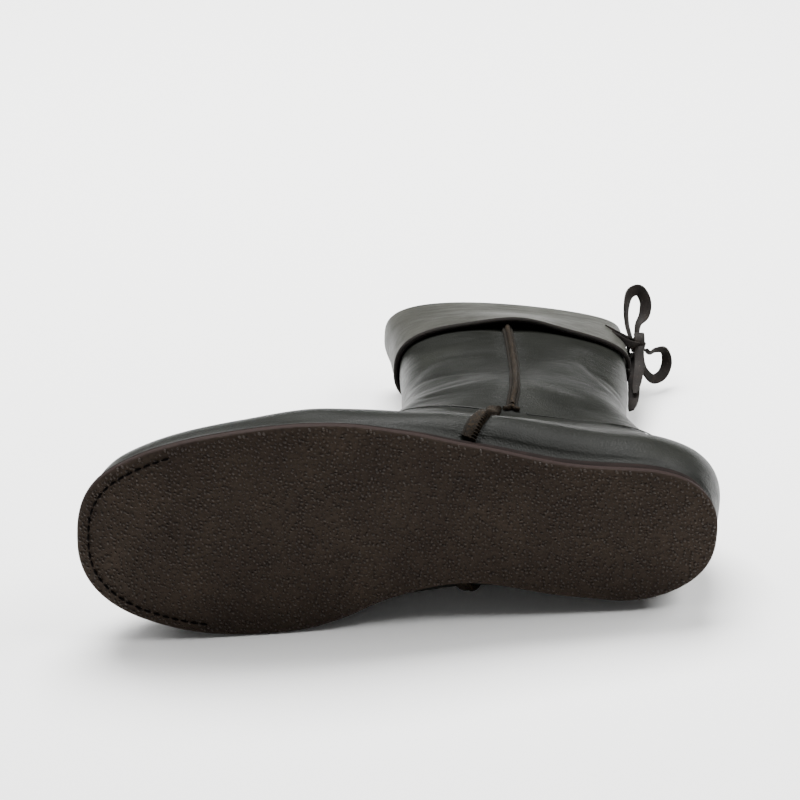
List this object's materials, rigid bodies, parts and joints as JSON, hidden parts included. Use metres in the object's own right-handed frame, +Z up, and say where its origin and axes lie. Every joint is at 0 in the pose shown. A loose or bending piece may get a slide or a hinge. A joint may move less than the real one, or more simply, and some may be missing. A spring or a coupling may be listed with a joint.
{
  "type": "ankle boot",
  "caption": "Soft pull-on leather ankle boot, left foot, lying on its side, with a turned-down cuff, a bow at the back and a flat rubber sole.",
  "frame": {"origin": "centre of the footprint box on the floor, measured without the free lace", "axes": "+Z up from the floor through the lateral side, -X towards the toe, +Y towards the collar, tread facing -Y"},
  "size_m": [0.2839, 0.2256, 0.0936],
  "materials": {
    "crepe_rubber": "matt pebbled crepe",
    "wedge_rubber": "matt",
    "insole_leather": "matt",
    "upper_leather": "soft satin nappa",
    "cuff_leather": "soft satin nappa, turned over at the rim",
    "binding_suede": "suede",
    "seam_suede": "suede",
    "lace_leather": "matt flat lace"
  },
  "bodies": {
    "root": {"outsole": "crepe_rubber", "midsole": "wedge_rubber", "insole": "insole_leather", "upper": "upper_leather", "cuff": "cuff_leather", "cuff_binding": "binding_suede", "lateral_shaft_seam": "seam_suede", "medial_shaft_seam": "seam_suede", "lateral_side_seam": "seam_suede", "medial_side_seam": "seam_suede", "instep_seam": "seam_suede", "counter_seam": "seam_suede", "lace_band": "lace_leather", "lace_knot": "lace_leather", "lace_loop_upper": "lace_leather", "lace_loop_lower": "lace_leather", "lace_end_1": "lace_leather", "lace_end_2": "lace_leather"}
  },
  "joints": []
}
